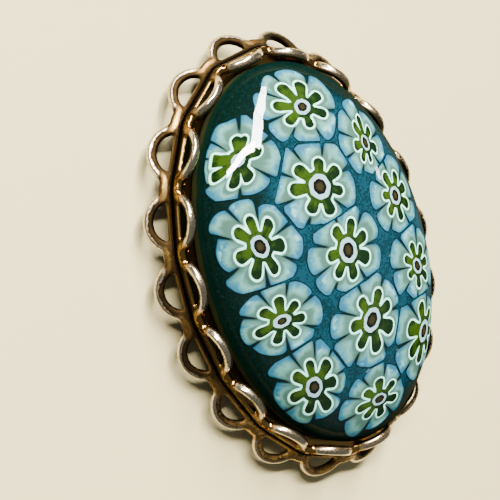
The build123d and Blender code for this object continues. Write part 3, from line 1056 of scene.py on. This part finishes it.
class BROOCH_OT_inlays(Operator):
    """Builds the star outlines, green stars, eyes and cores inside the slices"""

    bl_idname = "brooch.inlays"
    bl_label = "Inlays"

    def execute(self, context):
        sizes = context.scene.brooch_sizes
        tints = context.scene.brooch_colours
        dome = Dome(sizes)
        bands = {"outlines": [], "stars": [], "eyes": [], "cores": []}
        for seed, flower in enumerate(FLOWERS):
            outline = kept_inside(flower, dome, star_reach(flower, seed, 0), RIM_SHARE - RIM_STEP)
            star = star_reach(flower, seed, sizes.outline / MM)
            star = kept_inside(flower, dome, star, RIM_SHARE - 2 * RIM_STEP)
            eye = oval_reach(flower.eye, seed)
            core = oval_reach(flower.core, seed + 20)
            edges = {"outlines": (star, outline, 2), "stars": (eye, star, 6), "eyes": (core, eye, 2),
                     "cores": (0 * core, core, 4)}
            for kind, (inner, outer, rows) in edges.items():
                bands[kind].append(band_on_dome(dome, flower, seed, inner, outer, rows, sizes.slice_depth))
        finishes = [
            ("outlines", outline_finish, "white_glass", "star_outlines"),
            ("stars", star_finish, "green_glass", "green_stars"),
            ("eyes", eye_finish, "white_glass", "white_eyes"),
            ("cores", core_finish, "dark_glass", "dark_cores"),
        ]
        for kind, finish, slot, node in finishes:
            points, faces, marks = join_bands(bands[kind])
            make_piece("flower_" + kind, points, faces, finish(tints), [node], marks, normals=dome)
        return {"FINISHED"}


class BROOCH_OT_pin(Operator):
    """Gives the pin its metal"""

    bl_idname = "brooch.pin"
    bl_label = "Pin"

    def execute(self, context):
        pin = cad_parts["pin_back"]
        pin.data.materials.clear()
        pin.data.materials.append(pin_finish(context.scene.brooch_colours))
        return {"FINISHED"}


class BROOCH_OT_stage(Operator):
    """Builds the floor, the lights and the camera"""

    bl_idname = "brooch.stage"
    bl_label = "Stage"

    def execute(self, context):
        self.floor(context)
        self.lights(context)
        self.camera(context)
        return {"FINISHED"}

    def floor(self, context):
        """A square at height 0, that goes on for a half width to each side."""
        half = 0.6
        mesh = bpy.data.meshes.new("floor")
        corners = [(-half, -half, 0), (half, -half, 0), (half, half, 0), (-half, half, 0)]
        mesh.from_pydata(corners, [], [(0, 1, 2, 3)])
        mesh.materials.append(floor_finish(context.scene.brooch_colours))
        floor = bpy.data.objects.new("floor", mesh)
        context.scene.collection.objects.link(floor)

    def lights(self, context):
        """A pale sky, a long window in two parts and a weak lamp."""
        world = bpy.data.worlds.new("studio")
        world.use_nodes = True
        background = world.node_tree.nodes["Background"]
        background.inputs["Color"].default_value = (0.85, 0.95, 1.0, 1.0)
        background.inputs["Strength"].default_value = 0.25
        context.scene.world = world
        self.strip("window_near", (-0.22, 0.246, 0.30), (0.017, 0.173, 0.30), 0.028, 6.0)
        self.strip("window_far", (0.017, 0.173, 0.30), (0.36, 0.54, 0.30), 0.055, 14.0)
        self.strip("lamp", (0.42, -0.055, 0.155), (0.42, -0.035, 0.155), 0.02, 0.05)

    def strip(self, name, start, end, width, power):
        """A soft rectangular light from one point to another, that faces the brooch."""
        start, end = Vector(start), Vector(end)
        place = (start + end) / 2
        along = (end - start).normalized()
        back = (place - along * place.dot(along)).normalized()
        data = bpy.data.lights.new(name, "AREA")
        data.shape = "RECTANGLE"
        data.size = (end - start).length
        data.size_y = width
        data.energy = power
        light = bpy.data.objects.new(name, data)
        turn = Matrix((along, back.cross(along), back)).transposed()
        light.matrix_world = Matrix.Translation(place) @ turn.to_4x4()
        bpy.context.scene.collection.objects.link(light)

    def camera(self, context):
        """The photograph's place and lens. The camera's back is its right crossed with its up."""
        right = Vector((0.6794, -0.32482, 0.65795))
        up = Vector((0.40579, 0.91341, 0.03192))
        place = Vector((-66.5973, 27.2059, 79.0565)) * MM
        data = bpy.data.cameras.new("camera")
        data.lens = 118.94
        data.sensor_width = 36
        data.clip_start = 0.005
        camera = bpy.data.objects.new("camera", data)
        back = right.cross(up)
        turn = Matrix((right, up, back)).transposed()
        camera.matrix_world = Matrix.Translation(place) @ turn.to_4x4()
        context.scene.collection.objects.link(camera)
        context.scene.camera = camera


PIECE_OPERATORS = (
    BROOCH_OT_lace_edge,
    BROOCH_OT_glass_ground,
    BROOCH_OT_flower_slices,
    BROOCH_OT_inlays,
    BROOCH_OT_pin,
    BROOCH_OT_stage,
)


class BROOCH_PT_panel(Panel):
    """Lists the brooch's operators, sizes and colours"""

    bl_idname = "BROOCH_PT_panel"
    bl_label = "Glass brooch"
    bl_space_type = "VIEW_3D"
    bl_region_type = "UI"
    bl_category = "Brooch"

    def draw(self, context):
        for operator in PIECE_OPERATORS:
            self.layout.operator(operator.bl_idname)
        for group in (context.scene.brooch_sizes, context.scene.brooch_colours):
            box = self.layout.box()
            for name in group.__annotations__:
                box.prop(group, name)


CLASSES = (BroochSizes, BroochColours, *PIECE_OPERATORS, BROOCH_PT_panel)


def register():
    """Adds the classes, and the sizes and colours to each scene."""
    for cls in CLASSES:
        bpy.utils.register_class(cls)
    bpy.types.Scene.brooch_sizes = PointerProperty(type=BroochSizes)
    bpy.types.Scene.brooch_colours = PointerProperty(type=BroochColours)


def unregister():
    """Takes them away again."""
    del bpy.types.Scene.brooch_colours
    del bpy.types.Scene.brooch_sizes
    for cls in reversed(CLASSES):
        bpy.utils.unregister_class(cls)


def main():
    """Builds the whole brooch."""
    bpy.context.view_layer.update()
    register()
    bpy.ops.brooch.lace_edge()
    bpy.ops.brooch.glass_ground()
    bpy.ops.brooch.flower_slices()
    bpy.ops.brooch.inlays()
    bpy.ops.brooch.pin()
    bpy.ops.brooch.stage()


if __name__ == "__main__":
    main()
